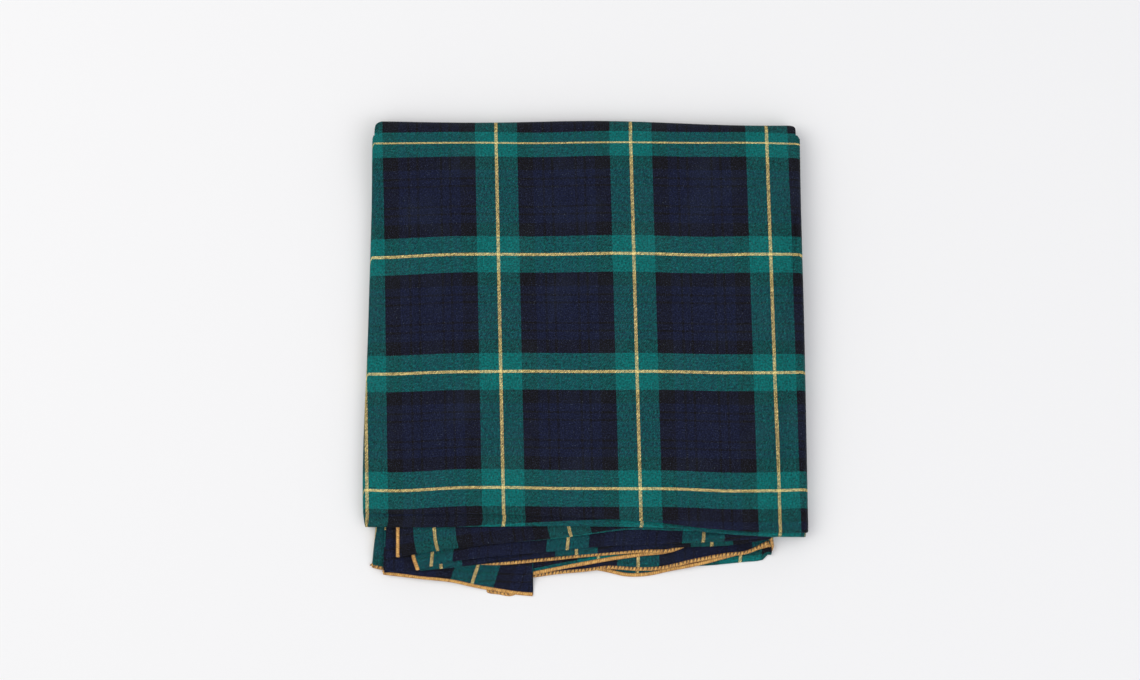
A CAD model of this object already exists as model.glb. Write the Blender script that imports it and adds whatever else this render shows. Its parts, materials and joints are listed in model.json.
import json
import math

import bpy
import numpy as np
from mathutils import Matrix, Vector


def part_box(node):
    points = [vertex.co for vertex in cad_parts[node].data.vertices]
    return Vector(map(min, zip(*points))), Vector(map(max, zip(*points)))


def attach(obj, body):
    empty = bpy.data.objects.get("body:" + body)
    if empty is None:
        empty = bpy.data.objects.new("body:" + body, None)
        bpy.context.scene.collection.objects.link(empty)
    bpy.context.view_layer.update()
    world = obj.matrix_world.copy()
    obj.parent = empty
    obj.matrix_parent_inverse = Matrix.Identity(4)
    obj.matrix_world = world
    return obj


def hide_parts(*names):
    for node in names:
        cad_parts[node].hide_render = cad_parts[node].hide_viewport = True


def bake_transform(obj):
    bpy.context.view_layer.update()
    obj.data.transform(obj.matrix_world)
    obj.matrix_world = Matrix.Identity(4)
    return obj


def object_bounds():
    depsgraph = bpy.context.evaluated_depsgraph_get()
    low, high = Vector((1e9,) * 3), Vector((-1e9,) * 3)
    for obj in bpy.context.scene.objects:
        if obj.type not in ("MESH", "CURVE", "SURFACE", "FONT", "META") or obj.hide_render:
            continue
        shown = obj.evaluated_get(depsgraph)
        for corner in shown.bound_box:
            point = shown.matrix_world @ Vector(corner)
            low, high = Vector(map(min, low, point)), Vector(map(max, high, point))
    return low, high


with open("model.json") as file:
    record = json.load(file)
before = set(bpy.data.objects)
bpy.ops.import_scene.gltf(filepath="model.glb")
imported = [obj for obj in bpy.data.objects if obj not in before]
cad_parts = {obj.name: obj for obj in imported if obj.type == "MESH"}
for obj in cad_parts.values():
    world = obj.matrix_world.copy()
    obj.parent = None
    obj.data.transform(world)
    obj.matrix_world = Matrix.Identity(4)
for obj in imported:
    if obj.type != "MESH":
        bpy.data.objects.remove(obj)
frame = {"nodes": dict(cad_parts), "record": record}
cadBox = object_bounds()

# A tartan neck square folded into a packet. The cloth is shaped in millimetres: x from
# the middle, reach from the far edge towards the wearer, and h in layers from the table.
mm = 0.001
farY = cadBox[1].y / mm
pitch = (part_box("panel_01")[0].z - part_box("panel_02")[0].z) / mm
hinge = [value / mm for value in frame["record"]["behaviour"]["joints"][0]["pos_m"]]
hingeReach = farY - hinge[1]
middle = hinge[2] / pitch
layerCount = 16
half = layerCount // 2

cloth = {
    "thickness": 0.45,
    "sideBulge": 0.75,  # how far a side fold stands out, for each layer of its radius
    "rightFold": 3.5,  # radius of the outermost right side fold, in layers
    "leftFold": 1.5,
    "roundFold": 0.8,  # cloth that a side fold takes up, as a share of a half circle
    "turnStart": 0.45,  # a side fold's near edge heads for the other layer from here on
    "sideAllowance": 4.0,  # the side folds' share of a panel's flat width
    "creaseRadius": 0.9,
    "tuckRadius": 0.5,
    "tuck": 14.0,  # width of a turned-under hem
    "tuckDrop": 0.5,  # how far below its layer that hem lies, in layers
    "farCompress": 0.12,  # how much the packet thins towards the far fold
    "farRun": 30.0,
    "sag": 0.96,  # how far the cloth drops where a layer is missing below it
    "slope": 6.0,  # the least width of that drop
    "slopeGrowth": 3.2,  # and how much wider it gets for each layer above the gap
    "flatStart": 12.0,  # the drop starts this far from the far edge
    "flatRun": 60.0,
    "hemRise": 0.55,  # how far an edge lifts the layers above it, for a hem and for a crease
    "creaseRise": 0.25,
    "riseInset": 2.0,  # the lift is greatest this far inside the edge
    "riseWidth": 2.4,
    "lowest": 0.3,  # the cloth's middle stays this far above the table
}
tucked = (9, 15)  # the layers whose near hem is turned under
wrongSide = (10, 13, 16)  # the layers whose near edging shows its wrong side

# How many rows and columns the cloth has
grid = {
    "columns": 84,
    "rows": 44,
    "topColumns": 136,
    "topRows": 100,
    "fineRows": 30,  # the last stretch before a near edge has closer rows
    "fineStart": 0.86,
    "sideTurn": 11,
    "crease": 9,
    "tuck": 8,
}

# The side folds close a little towards the far edge
farClose = {"depth": 0.8, "start": 12.5, "run": 3.05, "least": 0.05}

# Loose waves in the packet. The swell has a length and a phase each way. The slanting
# ones have a size, their lengths along x and along reach, and a phase.
waves = {
    "height": 0.45,
    "growth": 1.5,  # the power by which they grow from the table to the top
    "swell": 0.9,
    "swellAlongX": (37, 0.6),
    "swellAlongReach": (52, 1.1),
    "slanting": [(0.55, 19, -43, 2.0), (0.35, 11, 17, 0)],
}

sett = {"across": 102.0, "along": 87.5}  # one repeat of the tartan, along and across the packet
mostRepeats = 9  # a place on the sett is looked for among this many repeats either way
stripeReach = 300.0  # where the stripes' near places and the panels' widths are taken
weftSpan = 330.0  # the weft's left and right values lie this far apart
leanRun = 25.0  # a stripe leans over this distance from the crease
# The rounded far edge takes up a little more cloth
farEase = {"wide": 0.0108, "tight": 0.04, "tightRun": 20}

# Where the lines of the top doubled layer stray from a plain grid. Its waves are given as
# the slanting ones above. Each ripple has a size, a middle x and a width, and a middle
# reach and a length.
top = {
    "crease": 274.2,  # distance of its near crease from a yellow weft line
    "spread": 0.016,  # how much its warp lines spread towards the near edge
    "warpShift": 1.1,  # how far the warp lines right of warpShiftStart lie to the right
    "warpShiftStart": 60,
    "run": 60,
    "weftWaves": [(0.7, 45, 60, 0), (0.5, 21, -90, 1)],
    "rightDrop": 1.4,  # how far the weft lines bend towards the near edge at the two ends
    "rightStart": 110,
    "leftDrop": 0.5,
    "leftDropNear": 2.3,  # and how much more at leftReach
    "leftReach": 280,
    "leftStart": -90,
    "ripples": [(-2.8, 108, 42, 285, 70), (0.8, 8, 30, 285, 70), (1.6, 140, 45, 105, 50),
                (-1.6, -80, 40, 193, 45), (1.2, -70, 35, 20, 50)],
}

# Silhouettes, as (reach, x), and near edges, as (x, reach).
upperLeft = [(9, -160), (36, -160.5), (150, -163.5), (293, -167.2), (312, -166.5)]
upperRight = [(9, 161.5), (36, 161.8), (150, 164.6), (308, 167.8)]
lowerLeft = [(9, -158.5), (200, -158), (305, -158.1), (329, -160.4)]
lowerRight = [(9, 160), (120, 153), (240, 146), (330, 140.5)]

# What each layer is like: near edge, left edge where it isn't folded there, where one
# yellow stripe lies at the far and the near edge, how it leans near the crease, and how
# far the near edge lies past a yellow weft line at the left and at the right. Then, where
# they matter, how much the stripes spread, whether the weft may only run one way, and how
# many steps before the end of the side fold the hem stops.
groups = {
    1: dict(
        near=[(-168, 293.5), (-40, 294.8), (26, 298), (58, 300.5), (86, 304), (130, 307.2),
              (168, 308)],
        left=None, stripe=(34.0, 41.8), lean=0, weft=None),
    2: dict(
        near=[(-165, 304), (56, 304.2), (72, 304.8), (86, 307), (101, 308.4), (131, 310.5),
              (166, 311.6)],
        left=None, stripe=(36.0, 41.8), lean=-0.2, weft=(16.5, 1.5), spread=1.015),
    3: dict(
        near=[(-142, 326.3), (-101, 320.3), (-64, 315.8), (-26, 312.8), (6, 308.8), (29, 306),
              (74, 306.6), (160, 303)],
        left=[(9, -141.6), (326, -141.6)], stripe=(90.0, -12.5), lean=0.34, weft=(-15.0, -10.5),
        spread=0.98),
    4: dict(
        near=[(-125, 334.5), (-110, 331), (-68, 325.7), (-24, 322), (9, 318.5), (45, 317),
              (112, 313.9), (142, 311.3)],
        left=[(9, -130), (315, -130.8), (326, -129.8), (335, -126.8)], stripe=(91.0, -13.5),
        lean=-0.13, weft=(46.5, 31.5)),
}
lowerLayers = {
    9: dict(
        near=[(-150, 338.3), (-124, 336.8), (-64, 330.4), (-34, 327.4), (11, 323.6), (56, 320),
              (86, 318.8), (112, 317.6), (142, 312.4), (160, 309)],
        left=[(9, -149), (291, -149.7), (343, -151.3)], stripe=(91.0, -7.0), lean=0, weft=(45.0, 11.0)),
    10: dict(
        near=[(-160, 328), (-92, 330), (-73.7, 331.7), (-34, 329.4), (11, 324.9), (41, 322.7),
              (69.5, 320.9), (78, 317), (86, 314.5), (138, 308)],
        left=[(9, -117), (340, -117)], stripe=(91.0, 95.0), lean=0, weft=(30.0, 30.0)),
    11: dict(
        near=[(-39, 322), (11, 320), (60, 316), (138, 309)],
        left=[(9, -130), (340, -130)], stripe=(90.0, 20.8), lean=0, weft=(40.0, 40.0)),
    12: dict(
        near=[(-140, 340), (-39, 339.7), (-19, 335.6), (3.5, 331.5), (18.5, 328.8), (41, 325.5),
              (69.5, 321.2), (78, 317.6), (86, 315), (139, 310)],
        left=[(9, -130), (340, -130)], stripe=(90.0, 110.0), lean=0, weft=(8.0, 10.0)),
    13: dict(
        near=[(-160, 333.7), (-149.5, 336), (-110, 340), (-39, 342), (-19, 339.2), (3.5, 337.1),
              (18.5, 335.2), (41, 336.3), (56, 336), (86, 329.6), (108.5, 325.5), (123.5, 323.6),
              (141, 315.3)],
        left=None, stripe=(36.0, 39.5), lean=0, weft=(12.0, 44.0), oneWay=True, hemStop=5),
    14: dict(
        near=[(-160, 324), (-149, 326), (-110, 331), (-20, 334), (11, 336), (22, 338.2),
              (32, 340.5), (48.5, 340.5), (67, 336.7), (86, 332.9), (113, 325.6), (139, 318.5)],
        left=None, stripe=(36.0, 38.8), lean=0, weft=(22.0, 22.0), hemStop=5),
    15: dict(
        near=[(-160, 322), (20, 327), (60, 330), (78.5, 333.4), (95, 333.2), (110, 331.8),
              (124, 330.4), (133, 329.6), (137, 328.2), (140, 323.5), (142, 318)],
        left=None, stripe=(34.0, 16.7), lean=0, weft=(9.0, 9.0)),
    16: dict(
        near=[(-160, 333.7), (-149.5, 333), (-39, 334), (11, 332.2), (86, 329.2), (141, 321.2)],
        left=None, stripe=(34.0, 44.0), lean=0, weft=None),
}
flap = {
    "near": [(-151, 339.7), (-124.7, 342.7), (-97.7, 345.9), (-86, 348.7), (-65.5, 352.4),
             (-51.6, 354.6), (-39.5, 355.7)],
    "left": [(291, -150.6), (343, -152.2)],
    "leftEnd": -152.2,
    "right": -39.5,
    "rightInset": 0.25,
    "start": 291.0,
    "startRun": 20.0,
    "layer": 11,
    "stripe": -82.3,
    "lean": -0.32,
    "leanSetback": 12.0,
    "weft": 36.0,
    "weftSlant": 0.12,
    "columns": 44,
    "rows": 40,
    "return": 34.0,  # how wide the turned-under ply is
    "returnNear": [(-80, 349), (-74, 353.0), (-66, 354.3), (-53, 354.6), (-50, 352.5), (-39, 352.2)],
    "returnBulge": 0.3,
    "returnDrop": 0.25,
    "returnWeft": 30.0,
    "returnColumns": 16,
    "returnRows": 36,
    "returnTurn": 9,
}

# How the far edge strays from a straight line: its waves have a size, a length and a
# phase, and its left end bulges by slant, its right end by slant and slope together
farEdge = {
    "waves": [(0.6, 31, 1), (0.45, 73, 0)],
    "slant": 2.5,
    "slope": -3.6,
    "slopeStart": -20,
    "slopeRun": 180,
    "rounded": 5.5,  # how far the corners are rounded off
    "roundness": 8,
    "columns": 90,
    "leastRows": 8,
    "rowsPerLayer": 4,
}


def height(k):
    return middle + half + 0.5 - k  # the middle of layer k's cloth, in layers from the table


def ease(share):
    share = np.clip(share, 0, 1)
    return share * share * (3 - 2 * share)


def lineThrough(points, at):
    # a smooth line through a few points, carried straight on past its ends
    px, py = np.array(points, float).T
    slope = np.gradient(py, px)
    at = np.asarray(at, float)
    i = np.clip(np.searchsorted(px, at) - 1, 0, len(px) - 2)
    gap = px[i + 1] - px[i]
    t = np.clip((at - px[i]) / gap, 0, 1)
    line = (2 * t**3 - 3 * t**2 + 1) * py[i] + (3 * t**2 - 2 * t**3) * py[i + 1]
    line = line + gap * ((t**3 - 2 * t**2 + t) * slope[i] + (t**3 - t**2) * slope[i + 1])
    line = line + np.where(at < px[0], (at - px[0]) * slope[0], 0)
    return line + np.where(at > px[-1], (at - px[-1]) * slope[-1], 0)


def specOf(k):
    return groups[(k + 1) // 2] if k <= half else lowerLayers[k]


def nearOf(k, x):
    return lineThrough(specOf(k)["near"], x)


def leftOf(k, reach):
    spec = specOf(k)
    return lineThrough(spec["left"] or (upperLeft if k <= half else lowerLeft), reach)


def rightOf(k, reach):
    return lineThrough(upperRight if k <= half else lowerRight, reach)


def outside(k, x, reach):
    # how far a place lies outside layer k, below 0 inside it
    near, left = nearOf(k, x), leftOf(k, reach)
    if k == flap["layer"]:
        near = np.where(x < flap["right"], lineThrough(flap["near"], x), near)
        begun = ease((reach - flap["start"]) / flap["startRun"])
        left = left + (lineThrough(flap["left"], reach) - left) * begun
    return np.maximum.reduce([left - x, x - rightOf(k, reach), reach - near])


def slanting(parts, x, reach):
    # the sum of waves that run slantwise over the packet
    return sum(size * np.sin(x / alongX + reach / alongReach + phase)
               for size, alongX, alongReach, phase in parts)


def wavesAt(x, reach):
    (lengthX, phaseX), (lengthReach, phaseReach) = waves["swellAlongX"], waves["swellAlongReach"]
    swell = waves["swell"] * np.sin(x / lengthX + phaseX) * np.sin(reach / lengthReach + phaseReach)
    return swell + slanting(waves["slanting"], x, reach)


def settle(x, reach, h):
    # the height in mm of a place h layers up: the cloth sinks where a layer below it is missing
    z = np.zeros(np.broadcast(x, reach, h).shape)
    propped = ease((reach - cloth["flatStart"]) / cloth["flatRun"])
    for k in range(layerCount, 0, -1):
        level = layerCount - k
        share = np.clip(h - level, 0, 1)
        away = outside(k, x, reach)
        width = cloth["slope"] + cloth["slopeGrowth"] * np.maximum(h - level, 0)
        cover = 1 - cloth["sag"] * ease(away / width) * propped
        rise = cloth["hemRise"] if k > half and k not in tucked else cloth["creaseRise"]
        bump = np.exp(-(((away + cloth["riseInset"]) / cloth["riseWidth"]) ** 2))
        cover = cover + rise * propped * bump
        z = z + pitch * share * cover
    squeeze = 1 - cloth["farCompress"] * np.clip((cloth["farRun"] - reach) / cloth["farRun"], 0, 1) ** 2
    z = middle * pitch + (z - middle * pitch) * squeeze
    wave = waves["height"] * wavesAt(x, reach) * (h / layerCount) ** waves["growth"]
    return np.maximum(z + wave * propped, cloth["lowest"])


def sideways(k):
    return -1 if k % 4 < 2 else 1  # which way the weft runs on from the crease


def fromNear(k, x, reach):
    extra = farEase["wide"] * np.maximum(cloth["farRun"] - reach, 0) ** 2
    extra = extra + farEase["tight"] * np.maximum(farEase["tightRun"] - reach, 0) ** 2
    return nearOf(k, x) - reach + extra


def warpAt(k, x, reach):
    spec = specOf(k)
    along = (reach - hingeReach) / (stripeReach - hingeReach)
    far, near = spec["stripe"]
    near = near + sett["across"] * round((far - near) / sett["across"])
    setback = np.maximum(nearOf(k, x) - reach, 0)
    bend = spec["lean"] * setback * np.exp(-setback / leanRun)
    if k <= 2:
        spread = 1 + top["spread"] * (along - 0.5)
        shift = top["warpShift"] * ease((x - top["warpShiftStart"]) / top["run"])
        return (x - shift - far - (near - far) * along + bend) / spread
    return (x - far - (near - far) * along + bend) / spec.get("spread", 1)


def pastWeft(weft, x):
    # how far the near edge lies past a yellow weft line
    return weft[0] + (weft[1] - weft[0]) * (x + weftSpan / 2) / weftSpan


def upperWeft(k, x, reach):
    weft = specOf(k)["weft"]
    crease = nearOf(k, x) - top["crease"] if weft is None else pastWeft(weft, x)
    return crease + sideways(k) * fromNear(k, x, reach)


def rollLength(k):
    # the length of far fold k, from layer k to the layer as far below the middle
    return math.pi * (height(k) - middle) * pitch


def strayAt(x, reach):
    # how far the top layer's weft lines stray
    stray = slanting(top["weftWaves"], x, reach)
    stray = stray - top["rightDrop"] * ease((x - top["rightStart"]) / top["run"])
    drop = top["leftDrop"] + top["leftDropNear"] * (reach / top["leftReach"]) ** 2
    stray = stray - drop * ease((top["leftStart"] - x) / top["run"])
    for size, atX, width, atReach, length in top["ripples"]:
        stray = stray + size * np.exp(-(((x - atX) / width) ** 2) - ((reach - atReach) / length) ** 2)
    return stray


def closest(value, partner, repeat, signs=(-1, 1)):
    # the partner's place on the repeating, symmetrical sett that is closest to the value
    counts = range(-mostRepeats, mostRepeats + 1)
    choices = [(abs(sign * partner + n * repeat - value), sign, n) for sign in signs for n in counts]
    sign, n = min(choices)[1:]
    return sign, n * repeat


def weftAt(k, x, reach):
    if k <= half:
        return upperWeft(k, x, reach) + (strayAt(x, reach) if k <= 2 else 0)
    # a lower layer carries on from the upper layer that the far fold joins it to
    partner = layerCount + 1 - k
    run = sideways(partner)
    atHinge = np.full(np.shape(x), hingeReach)
    start = upperWeft(partner, x, atHinge) + run * rollLength(partner)
    length = fromNear(k, x, atHinge)
    stretch = 0
    spec = specOf(k)
    weft = spec["weft"]
    if weft is not None:
        natural = upperWeft(partner, 0.0, hingeReach)
        natural = natural + run * (rollLength(partner) + fromNear(k, 0.0, hingeReach))
        signs = (1,) if spec.get("oneWay") else (-1, 1)
        sign, shift = closest(natural, sum(weft) / 2, sett["along"], signs)
        stretch = (sign * pastWeft(weft, x) + shift - start - run * length) / length
    return start + (run + stretch) * (length - fromNear(k, x, reach))


# Building cloth and edging

def addMesh(name, points, faces, uv, material):
    mesh = bpy.data.meshes.new(name)
    mesh.from_pydata([tuple(p) for p in points], [], [tuple(f) for f in faces])
    layer = mesh.uv_layers.new(name="cloth")
    loops = np.zeros(len(mesh.loops), np.int32)
    mesh.loops.foreach_get("vertex_index", loops)
    layer.data.foreach_set("uv", np.asarray(uv, np.float32)[loops].ravel())
    mesh.materials.append(material)
    mesh.polygons.foreach_set("use_smooth", np.ones(len(mesh.polygons), bool))
    mesh.update()
    piece = bpy.data.objects.new(name, mesh)
    bpy.context.scene.collection.objects.link(piece)
    return piece


def clothPiece(name, surface, material):
    # surface has grids of x, reach, z, u and v; the cloth gets its thickness here
    points = np.stack([surface["x"], farY - surface["reach"], surface["z"]], axis=-1) * mm
    rows, columns = points.shape[:2]
    across, down = np.gradient(points, axis=1), np.gradient(points, axis=0)
    normal = np.cross(across, down)
    normal /= np.maximum(np.linalg.norm(normal, axis=-1, keepdims=True), 1e-12)
    offset = normal * cloth["thickness"] * mm / 2
    vertices = np.concatenate([(points + offset).reshape(-1, 3), (points - offset).reshape(-1, 3)])
    flat = np.stack([surface["u"], surface["v"]], axis=-1).reshape(-1, 2) * mm
    index = np.arange(rows * columns).reshape(rows, columns)
    a, b, c, d = index[:-1, :-1], index[:-1, 1:], index[1:, 1:], index[1:, :-1]
    front = np.stack([a, b, c, d], axis=-1).reshape(-1, 4)
    back = front[:, ::-1] + rows * columns
    rim = np.concatenate([index[0, ::-1], index[1:, 0], index[-1, 1:], index[-2:0:-1, -1]])
    follow = np.roll(rim, -1)
    side = np.stack([rim, follow, follow + rows * columns, rim + rows * columns], axis=-1)
    faces = np.concatenate([front, back, side])
    piece = addMesh(name, vertices, faces, np.concatenate([flat, flat]), material)
    piece.data.set_sharp_from_angle(angle=math.radians(60))
    surface["points"] = points
    surface["piece"] = piece
    return piece


edging = {
    "halfWidth": 1.5,
    "halfThickness": 0.62,
    "inset": 0.75,  # how far the middle of the edging lies inside the cloth's edge
    "stitch": 1.45,
    "ringsPerStitch": 5,
    "around": 12,
    "slant": 0.34,
    "bead": 0.6,  # how sharply one stitch stands off from the next
    "beadWidth": 0.1,
    "beadThickness": 0.26,
    "taper": 0.15,
    "lowest": 0.05,
}


def edgingPiece(name, edge, inner, material):
    # a row of overlocking stitches that wraps the cloth's edge
    steps = np.linalg.norm(np.diff(edge, axis=0), axis=1)
    along = np.concatenate([[0], np.cumsum(steps)])
    stitches = max(int(round(along[-1] / (edging["stitch"] * mm))), 2)
    places = np.linspace(0, along[-1], stitches * edging["ringsPerStitch"] + 1)
    outward = edge - inner
    outward /= np.linalg.norm(outward, axis=1, keepdims=True)
    centre = np.stack([np.interp(places, along, edge[:, i]) for i in range(3)], axis=1)
    out = np.stack([np.interp(places, along, outward[:, i]) for i in range(3)], axis=1)
    tangent = np.gradient(centre, axis=0)
    tangent /= np.linalg.norm(tangent, axis=1, keepdims=True)
    out -= tangent * np.sum(out * tangent, axis=1, keepdims=True)
    out /= np.linalg.norm(out, axis=1, keepdims=True)
    up = np.cross(tangent, out)
    angle = np.linspace(0, 2 * math.pi, edging["around"], endpoint=False)
    phase = places[:, None] / (edging["stitch"] * mm) + edging["slant"] * np.cos(angle)[None, :]
    gap = 1 - np.abs(np.sin(math.pi * phase)) ** edging["bead"]
    width = edging["halfWidth"] * (1 - edging["beadWidth"] * gap) * np.cos(angle)
    thick = edging["halfThickness"] * (1 - edging["beadThickness"] * gap) * np.sin(angle)
    thick = thick * (1 - edging["taper"] * np.cos(angle))
    centre = centre - out * edging["inset"] * mm
    outline = out[:, None, :] * width[..., None] + up[:, None, :] * thick[..., None]
    points = centre[:, None, :] + outline * mm
    points[..., 2] = np.maximum(points[..., 2], edging["lowest"] * mm)
    index = np.arange(len(points) * edging["around"]).reshape(len(points), edging["around"])
    turned = np.roll(index, -1, axis=1)
    faces = np.stack([index[:-1], turned[:-1], turned[1:], index[1:]], axis=-1).reshape(-1, 4)
    faces = [tuple(f) for f in faces] + [tuple(index[0, ::-1]), tuple(index[-1])]
    uv = np.stack([phase, np.broadcast_to(angle / (2 * math.pi), phase.shape)], axis=-1).reshape(-1, 2)
    return addMesh(name, points.reshape(-1, 3), faces, uv, material)


def runRows(count):
    start = grid["fineStart"]
    return np.concatenate([np.linspace(0, start, count, endpoint=False),
                           np.linspace(start, 1, grid["fineRows"])])


def foldInset(k):
    # how far layer k's flat part lies inside its left side fold
    return 0 if specOf(k)["left"] else cloth["leftFold"] * cloth["sideBulge"] * pitch


def panelSurface(k, under=None, leftTurn=None, rightTurn=None, columns=grid["columns"], count=grid["rows"]):
    # a layer from the far fold to its near edge, with the side folds that belong to it, which
    # lead to layers leftTurn and rightTurn; under is the layer that it turns back into at the
    # near crease
    tuck = k in tucked
    turn = np.linspace(0, math.pi, grid["sideTurn"])
    leftAngle, rightAngle = turn[:0:-1] if leftTurn else [], turn[1:] if rightTurn else []
    angle = np.concatenate([leftAngle, np.zeros(columns), rightAngle])
    before = len(leftAngle)
    side = np.zeros(len(angle))
    side[:before] = -1
    side[before + columns:] = 1
    share = np.clip((np.arange(len(angle)) - before) / (columns - 1), 0, 1)

    def across(reach):
        left = leftOf(k, reach) + foldInset(k)
        right = rightOf(k, reach) - cloth["rightFold"] * cloth["sideBulge"] * pitch
        return left + (right - left) * share

    sides = [(-1, leftTurn), (1, rightTurn)]
    sides = [(which, partner) for which, partner in sides if partner]
    near = nearOf(k, across(stripeReach))
    turned = ease((angle / math.pi - cloth["turnStart"]) / (1 - cloth["turnStart"]))
    for which, partner in sides:
        change = (nearOf(partner, across(stripeReach)) - near) * turned
        near = np.where(side == which, near + change, near)

    # each row has its reach, its height in layers and the ply that it belongs to
    radius = cloth["creaseRadius"] if under else cloth["tuckRadius"]
    inner = near - (radius + cloth["thickness"] / 2 if under or tuck else 0)
    run = runRows(count)
    rows = [(hingeReach + t * (inner - hingeReach), height(k), "front") for t in run]
    backHeight = height(under) if under else height(k) - cloth["tuckDrop"]
    if under or tuck:
        mid, depth = (height(k) + backHeight) / 2, (height(k) - backHeight) / 2
        for psi in np.linspace(0, math.pi, grid["crease"])[1:-1]:
            rows.append((inner + radius * math.sin(psi), mid + depth * math.cos(psi), "front"))
    if under:
        rows += [(hingeReach + t * (inner - hingeReach), backHeight, "back") for t in run[::-1]]
    elif tuck:
        rows += [(inner - b, backHeight, "tuck") for b in np.linspace(0, cloth["tuck"], grid["tuck"])]
    reach = np.array([row[0] for row in rows])
    flatHeight = np.array([row[1] for row in rows])[:, None]
    ply = np.array([row[2] for row in rows])
    back = ply == "back"

    x0 = across(reach)
    x, h = x0.copy(), flatHeight + 0 * x0
    u, v = warpAt(k, x0, reach), weftAt(k, x0, reach)
    if under:
        v[back] = weftAt(under, x0[back], reach[back])
    if tuck:
        edge = weftAt(k, x0[ply == "front"][-1], near)
        v[ply == "tuck"] = edge - sideways(k) * (near - reach[ply == "tuck"])
    closing = np.clip((farClose["start"] - reach) / farClose["run"], 0, 1) ** 2
    closing = np.sqrt(np.clip(1 - farClose["depth"] * closing, farClose["least"], 1))
    for which, partner in sides:
        at = side == which
        centre = (height(k) + height(partner)) / 2
        away = flatHeight - centre
        phi = angle[at][None, :]
        h[:, at] = centre + away * np.cos(phi)
        radii = which * np.abs(away) * pitch
        x[:, at] = x0[:, at] + radii * cloth["sideBulge"] * np.sin(phi) * closing[:, at]
        u[:, at] += radii * cloth["roundFold"] * phi  # the cloth runs on round the fold
        otherWeft = weftAt(partner, x0[:, at], reach[:, at])
        if under:
            pair = half + 1 - under if which > 0 else half // 2 + 1 - under
            otherWeft[back] = weftAt(pair, x0[back][:, at], reach[back][:, at])
        row = len(rows) // 4  # the two layers' weft is matched in this row
        sign, shift = closest(v[row, at][0], otherWeft[row, 0], sett["along"])
        v[:, at] += (sign * otherWeft + shift - v[:, at]) * phi / math.pi
    length = 2 * np.mean(reach[len(run)] - reach[0]) if under else np.mean(reach[-1] - reach[0])
    width = np.mean(x0[:, -1] - x0[:, 0]) + cloth["sideAllowance"]
    return {"x": x, "reach": reach, "z": settle(x, reach, h), "u": u, "v": v,
            "width": float(width), "length": float(length)}


# Finishes

class Strand:
    # a shader socket that can stand in a sum
    def __init__(self, finish, socket):
        self.finish, self.socket = finish, socket

    def __add__(self, other):
        return self.finish.maths("ADD", self, other)

    def __sub__(self, other):
        return self.finish.maths("SUBTRACT", self, other)

    def __rsub__(self, other):
        return self.finish.maths("SUBTRACT", other, self)

    def __mul__(self, other):
        return self.finish.maths("MULTIPLY", self, other)


class Finish:
    def __init__(self, name):
        self.material = bpy.data.materials.new(name)
        self.material.use_nodes = True
        self.tree = self.material.node_tree
        self.tree.nodes.clear()
        self.surface = self.tree.nodes.new("ShaderNodeBsdfPrincipled")
        output = self.tree.nodes.new("ShaderNodeOutputMaterial")
        self.tree.links.new(self.surface.outputs[0], output.inputs[0])

    def node(self, kind, settings, sockets):
        made = self.tree.nodes.new(kind)
        for name, value in settings.items():
            if name == "stops":
                self.setStops(made.color_ramp, value)
            else:
                setattr(made, name, value)
        for name, value in sockets.items():
            self.feed(made.inputs[name], value)
        return made

    def feed(self, socket, value):
        if isinstance(value, Strand):
            self.tree.links.new(value.socket, socket)
        else:
            socket.default_value = value

    def setStops(self, ramp, stops):
        ramp.interpolation = stops["kind"]
        while len(ramp.elements) > 1:
            ramp.elements.remove(ramp.elements[-1])
        for i, (spot, colour) in enumerate(stops["at"]):
            element = ramp.elements[0] if i == 0 else ramp.elements.new(spot)
            element.position = spot
            element.color = colour

    def maths(self, operation, *values):
        made = self.node("ShaderNodeMath", {"operation": operation}, dict(enumerate(values)))
        return Strand(self, made.outputs[0])

    def mixed(self, share, first, second):
        made = self.node("ShaderNodeMix", {"data_type": "RGBA"}, {0: share, 6: first, 7: second})
        return Strand(self, made.outputs[2])

    def clamped(self, value):
        return self.maths("MINIMUM", self.maths("MAXIMUM", value, 0.0), 1.0)

    def shaded(self, colour, shade, strength):
        made = self.node("ShaderNodeHueSaturation", {}, {
            "Color": colour, "Value": (shade - 0.5) * strength + 1.0})
        return Strand(self, made.outputs[0])

    def bump(self, height, strength, distance):
        made = self.node("ShaderNodeBump", {}, {
            "Strength": strength, "Distance": distance, "Height": height})
        self.feed(self.surface.inputs["Normal"], Strand(self, made.outputs[0]))

    def place(self):
        made = self.node("ShaderNodeUVMap", {"uv_map": "cloth"}, {})
        split = self.node("ShaderNodeSeparateXYZ", {}, {0: Strand(self, made.outputs[0])})
        return Strand(self, split.outputs[0]), Strand(self, split.outputs[1])

    def noise(self, x, y, detail=2.0):
        spot = self.node("ShaderNodeCombineXYZ", {}, {0: x, 1: y})
        made = self.node("ShaderNodeTexNoise", {"noise_dimensions": "2D"},
                         {"Vector": Strand(self, spot.outputs[0]), "Scale": 1.0, "Detail": detail})
        return Strand(self, made.outputs[0])


def linear(red, green, blue):
    parts = [value / 255 for value in (red, green, blue)]
    parts = [value / 12.92 if value <= 0.04045 else ((value + 0.055) / 1.055) ** 2.4 for value in parts]
    return (*parts, 1.0)


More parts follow.
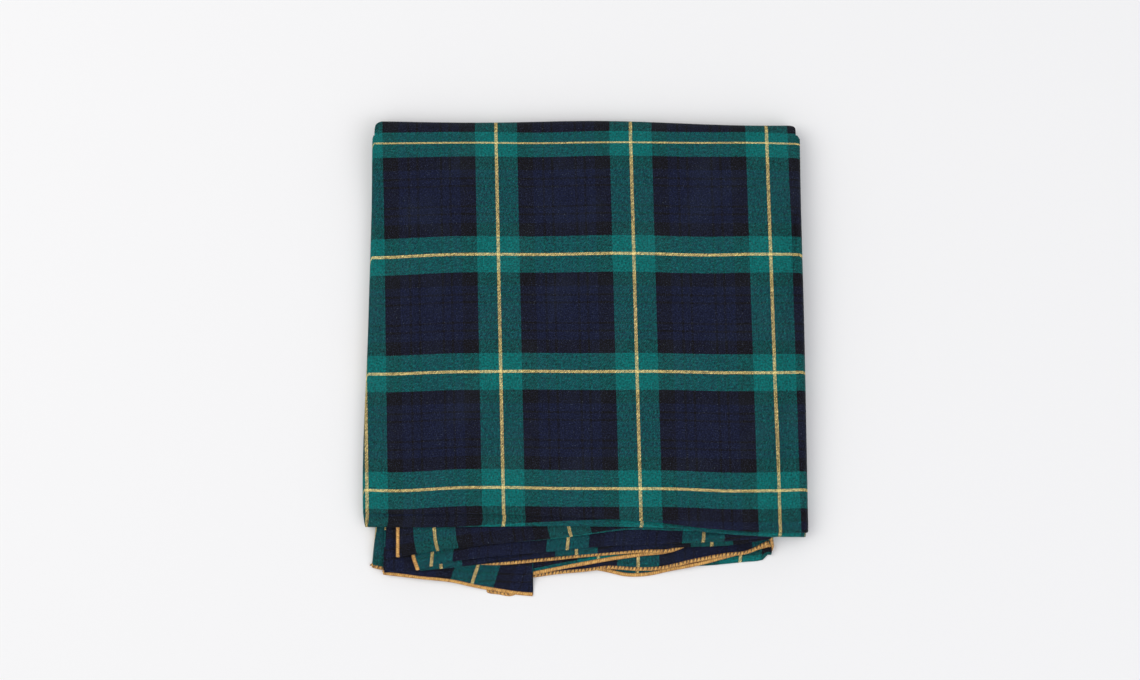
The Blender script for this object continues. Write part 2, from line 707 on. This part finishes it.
tartan = {
    "yellow": linear(242, 216, 138),
    "green": linear(0, 101, 98),
    "black": linear(13, 11, 15),
    "blue": linear(16, 21, 45),
    "threadAcross": 0.000333,
    "threadAlong": 0.000268,
    "contrast": 0.85,  # how much of the weave shows as separate threads
    "warpShare": 0.44,  # the warp shows a little less than the weft
    "heather": 1.76,  # unevenness of the threads
    "streak": 1.25,  # unevenness of the twill lines
    "fibres": 1.7,  # how much the pale fibre ends show
    "fleck": 1.7,  # light and dark fibres
    "haze": linear(96, 112, 128),
    "fibreColour": linear(80, 90, 124),
    "lint": linear(150, 165, 170),
    "lintStrength": 0.3,
    "hazeStrength": 0.12,
    "leastHaze": 0.004,
    "fibreLevel": 0.58,  # the share of the noise above this shows as fibre ends
    "lintLevel": 0.8,
    # how many waves of noise there are in a metre
    "shadeScale": (210, 260),
    "fleckScale": (720, 760),
    "patchScale": 28,
    "fibreScale": 1500,
    "lintScale": 1100,
    "threadStep": 1.7,  # the noise moves on this much from one thread to the next
    "roughness": 0.82,
    "bumpStrength": 0.35,
    "bumpDistance": 0.00012,
    "sheen": 0.03,
    "sheenColour": linear(150, 180, 190),
    "specular": 0.12,
    # one half of the symmetrical sett, from the middle of a yellow line
    "stops": [(0.0, "yellow"), (0.023, "green"), (0.31, "black"), (0.54, "blue"), (0.675, "black"),
              (0.71, "blue"), (0.806, "black"), (0.842, "blue")],
}


def tartanFinish():
    finish = Finish("tartan cloth")
    u, v = finish.place()
    ramp = {"kind": "CONSTANT", "at": [(spot, tartan[colour]) for spot, colour in tartan["stops"]]}

    def bands(along, repeat):
        turns = finish.maths("FRACT", along * (1 / (repeat * mm)) + 0.5)
        folded = finish.maths("ABSOLUTE", turns - 0.5) * 2
        made = finish.node("ShaderNodeValToRGB", {"stops": ramp}, {0: folded})
        return Strand(finish, made.outputs[0])

    threadU, threadV = u * (1 / tartan["threadAcross"]), v * (1 / tartan["threadAlong"])
    weftScale, warpScale = tartan["shadeScale"]
    threadStep = tartan["threadStep"]
    warpShade = finish.noise(finish.maths("FLOOR", threadU) * threadStep, v * warpScale)
    weftShade = finish.noise(u * weftScale, finish.maths("FLOOR", threadV) * threadStep + 40)
    warp = finish.shaded(bands(u, sett["across"]), warpShade, tartan["heather"])
    weft = finish.shaded(bands(v, sett["along"]), weftShade, tartan["heather"])
    lineA, lineB = (threadU + threadV) * 0.25, (threadU - threadV) * 0.25
    streak = finish.noise(lineA * 1.15, lineB * 0.3, 1.0)
    fleckU, fleckV = tartan["fleckScale"]
    fleck = finish.noise(u * fleckU, v * fleckV + 11, 1.0)
    # a two-and-two twill: every thread passes over two and under two
    crossing = finish.maths("FLOOR", threadU) + finish.maths("FLOOR", threadV)
    diagonal = finish.maths("FRACT", crossing * 0.25 + 0.1)
    onTop = finish.maths("LESS_THAN", diagonal, 0.5)
    share = (onTop - 0.5) * tartan["contrast"] + (streak - 0.5) * tartan["streak"]
    share = finish.clamped(share + tartan["warpShare"])
    colour = finish.shaded(finish.mixed(share, weft, warp), fleck, tartan["fleck"])
    patch = finish.noise(u * tartan["patchScale"], v * tartan["patchScale"], 3.0)
    fibres = finish.noise(u * tartan["fibreScale"] + 5, v * tartan["fibreScale"], 1.0)
    fibres = finish.maths("MAXIMUM", (fibres - tartan["fibreLevel"]) * tartan["fibres"], 0.0)
    dusty = finish.noise(u * tartan["lintScale"], v * tartan["lintScale"], 1.0)
    lint = finish.maths("GREATER_THAN", dusty, tartan["lintLevel"])
    haze = (patch - 0.5) * tartan["hazeStrength"] + tartan["leastHaze"]
    haze = finish.maths("MAXIMUM", haze, 0.0)
    colour = finish.mixed(haze, colour, tartan["haze"])
    colour = finish.mixed(fibres, colour, tartan["fibreColour"])
    colour = finish.mixed(lint * tartan["lintStrength"], colour, tartan["lint"])
    finish.feed(finish.surface.inputs["Base Color"], colour)
    finish.feed(finish.surface.inputs["Roughness"], (patch - 0.5) * 0.2 + tartan["roughness"])
    ribs = finish.maths("SINE", threadU * (2 * math.pi)) * onTop
    ribs = ribs + finish.maths("SINE", threadV * (2 * math.pi)) * (1 - onTop)
    finish.bump(ribs * 0.4 + onTop * 0.5 + patch * 3, tartan["bumpStrength"], tartan["bumpDistance"])
    finish.surface.inputs["Sheen Weight"].default_value = tartan["sheen"]
    finish.surface.inputs["Sheen Roughness"].default_value = 0.5
    finish.surface.inputs["Sheen Tint"].default_value = tartan["sheenColour"]
    finish.surface.inputs["Specular IOR Level"].default_value = tartan["specular"]
    return finish.material


gold = {
    "light": linear(238, 184, 98),
    "deep": linear(140, 86, 32),
    "gap": linear(44, 30, 26),
    "gapDepth": 0.85,
    "roughness": 0.46,
    "bumpStrength": 0.5,
    "bumpDistance": 0.0002,
    "sheen": 0.1,
    "specular": 0.45,
}


def goldFinish(name, gapEvery, gapWidth):
    # overlocking thread: u counts stitches along the edge and v goes once round it
    finish = Finish(name)
    u, v = finish.place()
    ridge = finish.maths("ABSOLUTE", finish.maths("SINE", u * math.pi))
    strand = finish.maths("SINE", u * (6 * math.pi) + v * (4 * math.pi)) * 0.5 + 0.5
    shade = finish.noise(u * 0.9, v * 3, 2.0)
    flank = finish.maths("ABSOLUTE", finish.maths("COSINE", v * (2 * math.pi)))
    tone = ridge * 0.5 + strand * 0.25 + shade * 1.5 - flank * flank * 0.45 - 0.55
    colour = finish.mixed(finish.clamped(tone), gold["deep"], gold["light"])
    wander = finish.noise(finish.maths("FLOOR", u * (1 / gapEvery)) * 3.1, v * 0.5, 0.0)
    opening = finish.maths("ABSOLUTE", finish.maths("FRACT", u * (1 / gapEvery) + wander * 0.6) - 0.5)
    ridgeSide = finish.maths("ABSOLUTE", finish.maths("ABSOLUTE", v - 0.5) - 0.16)
    opened = finish.maths("LESS_THAN", opening + ridgeSide * 1.1, gapWidth)
    colour = finish.mixed(opened * gold["gapDepth"], colour, gold["gap"])
    finish.feed(finish.surface.inputs["Base Color"], colour)
    finish.feed(finish.surface.inputs["Roughness"], (shade - 0.5) * 0.2 + gold["roughness"])
    finish.bump(strand * 0.5 + ridge - opened * 1.2, gold["bumpStrength"], gold["bumpDistance"])
    finish.surface.inputs["Sheen Weight"].default_value = gold["sheen"]
    finish.surface.inputs["Specular IOR Level"].default_value = gold["specular"]
    return finish.material


tartanCloth = tartanFinish()
goldOuter = goldFinish("gold overlocking", 2.0, 0.04)
goldInner = goldFinish("gold overlocking, wrong side", 1.9, 0.26)
print("finishes made")

made = {}  # every piece of cloth by name, with its surface
hems = []  # every piece of edging, with the name of its cloth


def place(piece, body, nodes):
    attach(piece, body)
    if nodes:
        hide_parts(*nodes)


def addCloth(name, surface, body, nodes):
    piece = clothPiece(name, surface, tartanCloth)
    place(piece, body, nodes)
    made[name] = surface
    return surface


def addEdging(name, owner, edge, inner, material, body, nodes):
    piece = edgingPiece(name, edge, inner, material)
    place(piece, body, nodes)
    hems.append((piece, owner))


def node(kind, number):
    return f"{kind}_{number:02d}"


# The upper half: one doubled strip of cloth, folded right, left and right again. Each
# group has the layers that its left and right side folds lead to.
upperTurns = {1: (4, 8), 2: (None, 6), 3: (None, None), 4: (None, None)}
for group, (leftTurn, rightTurn) in upperTurns.items():
    upper, lower = 2 * group - 1, 2 * group
    size = (grid["topColumns"], grid["topRows"]) if group == 1 else (grid["columns"], grid["rows"])
    surface = panelSurface(upper, lower, leftTurn, rightTurn, *size)
    nodes = [node("panel", upper), node("panel", lower), node("near_fold", group)]
    if rightTurn:
        nodes += [node("right_fold", upper), node("right_fold", lower)]
    if leftTurn:
        nodes += [node("left_fold", upper), node("left_fold", lower)]
    name = f"doubled_panel_{group}"
    addCloth(name, surface, "upper_half", nodes)
    if group > 2:
        points = surface["points"]
        addEdging(f"side_edging_{group}", name, points[:, 0], points[:, 1], goldOuter, "upper_half",
                  [node("side_hem", upper), node("side_hem", lower)])
print("upper half made")

# The lower half: the same strip with its hems at the near side
lowerTurns = {9: (None, None), 10: (None, None), 11: (None, None), 12: (None, None),
              13: (None, 12), 14: (None, 11), 15: (14, 10), 16: (13, 9)}
for k, (leftTurn, rightTurn) in lowerTurns.items():
    surface = panelSurface(k, leftTurn=leftTurn, rightTurn=rightTurn)
    nodes = [node("panel", k)]
    if rightTurn:
        nodes.append(node("right_fold", k))
    if leftTurn:
        nodes.append(node("left_fold", k))
    name = f"panel_cloth_{k:02d}"
    addCloth(name, surface, "lower_half", nodes)
    points = surface["points"]
    thread = goldInner if k in wrongSide else goldOuter
    last = points.shape[1] - specOf(k).get("hemStop", 0)
    addEdging(f"near_edging_{k:02d}", name, points[-1, :last], points[-2, :last], thread, "lower_half",
              [node("near_hem", k)])
    if node("side_hem", k) in frame["nodes"] and k != 9:  # layer 9's is part of the corner flap
        addEdging(f"side_edging_{k:02d}", name, points[:, 0], points[:, 1], goldOuter, "lower_half",
                  [node("side_hem", k)])
print("lower half made")


def flapSurface():
    # the corner that hangs out in front: it turns up into layer 9 at its left
    turn = np.linspace(0, math.pi, grid["sideTurn"])
    columns = flap["columns"]
    angle = np.concatenate([turn[:0:-1], np.zeros(columns)])
    share = np.clip((np.arange(len(angle)) - len(turn) + 1) / (columns - 1), 0, 1)
    bulge = cloth["sideBulge"] * pitch
    right = flap["right"] - bulge * flap["rightInset"]
    near = lineThrough(flap["near"], flap["leftEnd"] + (right - flap["leftEnd"]) * share)
    near = near + (nearOf(9, flap["leftEnd"] + 0 * share) - near) * ease(angle / math.pi)
    reach = flap["start"] + (near - flap["start"]) * np.linspace(0, 1, flap["rows"])[:, None]
    left = lineThrough(flap["left"], reach) + bulge
    x0 = left + (right - left) * share
    centre = (height(9) + height(flap["layer"])) / 2
    h = centre - np.cos(angle) + 0 * reach
    x = x0 - bulge * np.sin(angle)
    setback = near - reach
    u = x - flap["stripe"] + flap["lean"] * (setback - flap["leanSetback"])
    v = flap["weft"] + setback - flap["weftSlant"] * x
    return {"x": x, "reach": reach, "z": settle(x, reach, h), "u": u, "v": v,
            "width": float(np.mean(right - left)), "length": float(np.mean(near) - flap["start"])}


def flapReturnSurface():
    # the flap's right side turned under it; its corner peeps out below the flap's hem
    turn = np.linspace(0, math.pi, flap["returnTurn"])
    columns = flap["returnColumns"]
    bulge = flap["returnBulge"]
    angle = np.concatenate([turn[:-1], np.full(columns, math.pi)])
    share = np.clip((np.arange(len(angle)) - len(turn) + 1) / (columns - 1), 0, 1)
    x0 = flap["right"] - bulge - flap["return"] * share
    near = lineThrough(flap["near"], x0)
    near = near + (lineThrough(flap["returnNear"], x0) - near) * ease(angle / math.pi)
    reach = flap["start"] + (near - flap["start"]) * np.linspace(0, 1, flap["returnRows"])[:, None]
    h = height(flap["layer"]) - flap["returnDrop"] * (1 - np.cos(angle)) + 0 * reach
    x = x0 + bulge * np.sin(angle) + 0 * reach
    u, v = x - flap["stripe"], reach - near + flap["returnWeft"]
    return {"x": x, "reach": reach, "z": settle(x, reach, h), "u": u, "v": v,
            "width": flap["return"], "length": float(np.mean(near) - flap["start"])}


surface = addCloth("corner_flap_cloth", flapSurface(), "lower_half", ["corner_flap"])
points = surface["points"]
addEdging("corner_flap_edging", "corner_flap_cloth", points[-1], points[-2], goldOuter, "lower_half",
          ["corner_flap_hem"])
surface = addCloth("corner_flap_return", flapReturnSurface(), "lower_half", [])
points = surface["points"]
first = flap["returnTurn"] - 1  # this edging begins where the fold ends
addEdging("corner_flap_return_edging", "corner_flap_return", points[-1, first:], points[-2, first:],
          goldInner, "lower_half", [])
addEdging("side_edging_09", "corner_flap_return", points[:, -1], points[:, -2], goldOuter, "lower_half",
          [node("side_hem", 9)])
print("corner flap made")


def rollSurface(k):
    # the far fold from layer k round to the layer as far below the middle
    partner = layerCount + 1 - k
    rows = farEdge["leastRows"] + farEdge["rowsPerLayer"] * (half + 1 - k)
    theta = np.linspace(0, math.pi, rows)[:, None]
    share = np.linspace(0, 1, farEdge["columns"])[None, :]
    radius = height(k) - middle
    turned = ease(theta / math.pi)
    left = (leftOf(k, hingeReach) + foldInset(k)) * (1 - turned)
    left = left + (leftOf(partner, hingeReach) + foldInset(partner)) * turned
    right = rightOf(k, hingeReach) * (1 - turned) + rightOf(partner, hingeReach) * turned
    right = right - cloth["rightFold"] * cloth["sideBulge"] * pitch
    rounded = farEdge["rounded"] * np.sin(theta) ** farEdge["roundness"] * (radius / half) ** 2
    x = (left + rounded) * (1 - share) + (right - rounded) * share
    stray = sum(size * np.sin(x / length + phase) for size, length, phase in farEdge["waves"])
    slope = ease((x - farEdge["slopeStart"]) / farEdge["slopeRun"])
    stray = stray + farEdge["slant"] + farEdge["slope"] * slope
    bulge = radius * pitch + stray * np.sin(theta) * radius / half
    reach = hingeReach - bulge * np.sin(theta)
    flatReach = np.full(x.shape, hingeReach)
    topZ = settle(x, flatReach, np.full(x.shape, height(k)))
    bottomZ = settle(x, flatReach, np.full(x.shape, height(partner)))
    z = (topZ + bottomZ) / 2 + (topZ - bottomZ) / 2 * np.cos(theta)
    u = warpAt(k, x, flatReach) * (1 - turned) + warpAt(partner, x, flatReach) * turned
    begin, end = weftAt(k, x, flatReach), weftAt(partner, x, flatReach)
    v = begin + (end - begin) * theta / math.pi
    return {"x": x, "reach": reach, "z": z, "u": u, "v": v, "width": float(np.mean(right - left)),
            "length": rollLength(k), "bottom": float(bottomZ.max()), "top": float(topZ.min())}


def bend(piece, surface, slot, nodes):
    seamY = hinge[1] * mm
    start, end = (0, seamY, surface["bottom"] * mm), (0, seamY, surface["top"] * mm)
    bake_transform(piece)
    if nodes:
        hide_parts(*nodes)


for k in range(1, half + 1):
    surface = rollSurface(k)
    name = f"far_roll_{k:02d}"
    bend(clothPiece(name, surface, tartanCloth), surface, "cloth", [node("far_fold", k)])
    made[name] = surface
    if specOf(k)["left"]:
        points = surface["points"]
        piece = edgingPiece(f"far_edging_{k:02d}", points[:, 0], points[:, 1], goldOuter)
        bend(piece, surface, "edging", [])
        hems.append((piece, name))
print("far fold made")

# What each stretch of cloth was before it was folded
order = [f"doubled_panel_{group}" for group in upperTurns]
order += [f"panel_cloth_{k:02d}" for k in lowerTurns]
restsOn = {name: [below] for name, below in zip(order, order[1:])}
restsOn.update(corner_flap_cloth=["panel_cloth_12"], corner_flap_return=["panel_cloth_12"])
shortest = 10.1  # the least side that a declared sheet may have
beside = {"panel_cloth_09": ["far_roll_08"]}  # this fold is only a crease, so it goes with its layer
for name, surface in made.items():
    if name == "far_roll_08":
        continue
    width, length = surface["width"] * mm, max(surface["length"], shortest) * mm
    width * min(length, surface["length"] * mm)
    [piece for piece, owner in hems if owner == name] + beside.get(name, [])
print("sheets declared")


# The stage
stage = {
    "floorSize": 9.0,
    "floorColour": (0.93, 0.93, 0.935, 1),
    "look": (-0.0115, 0.0146, 0.019),
    "distance": 1.9,
    "elevation": 88.3,
    "fieldWidth": 0.855,
    "sensor": 36,
    "worldColour": (0.94, 0.943, 0.958, 1),
    "worldStrength": 0.72,
}


def addFloor():
    size = stage["floorSize"] / 2
    mesh = bpy.data.meshes.new("floor")
    corners = [(-size, -size, 0), (size, -size, 0), (size, size, 0), (-size, size, 0)]
    mesh.from_pydata(corners, [], [(0, 1, 2, 3)])
    finish = Finish("pale card")
    grain = finish.node("ShaderNodeTexNoise", {}, {"Scale": 900.0, "Detail": 2.0})
    finish.feed(finish.surface.inputs["Roughness"], Strand(finish, grain.outputs[0]) * 0.1 + 0.85)
    finish.surface.inputs["Base Color"].default_value = stage["floorColour"]
    mesh.materials.append(finish.material)
    floor = bpy.data.objects.new("floor", mesh)
    bpy.context.scene.collection.objects.link(floor)


def addLight(name, spot, size, power, colour):
    light = bpy.data.lights.new(name, "AREA")
    light.shape, light.size, light.energy, light.color = "DISK", size, power, colour
    lamp = bpy.data.objects.new(name, light)
    lamp.location = spot
    lamp.rotation_euler = (-Vector(spot)).to_track_quat("-Z", "Y").to_euler()
    bpy.context.scene.collection.objects.link(lamp)


def addCamera():
    camera = bpy.data.cameras.new("camera")
    camera.sensor_width = stage["sensor"]
    camera.lens = stage["sensor"] * stage["distance"] / stage["fieldWidth"]
    camera.clip_end = 50
    seen = bpy.data.objects.new("camera", camera)
    up = math.radians(stage["elevation"])
    look = Vector(stage["look"])
    seen.location = look + stage["distance"] * Vector((0, -math.cos(up), math.sin(up)))
    seen.rotation_euler = (math.radians(90) - up, 0, 0)
    bpy.context.scene.collection.objects.link(seen)
    bpy.context.scene.camera = seen


addFloor()
addCamera()
addLight("window", (-1.6, 0.45, 2.1), size=2.2, power=21, colour=(1.0, 0.98, 0.94))
addLight("fill", (1.5, -0.8, 1.9), size=2.0, power=11, colour=(0.95, 0.96, 1.0))
world = bpy.data.worlds.new("soft white")
world.use_nodes = True
background = world.node_tree.nodes["Background"]
background.inputs["Color"].default_value = stage["worldColour"]
background.inputs["Strength"].default_value = stage["worldStrength"]
bpy.context.scene.world = world
bpy.context.scene.view_settings.view_transform = "Standard"
print("stage set")
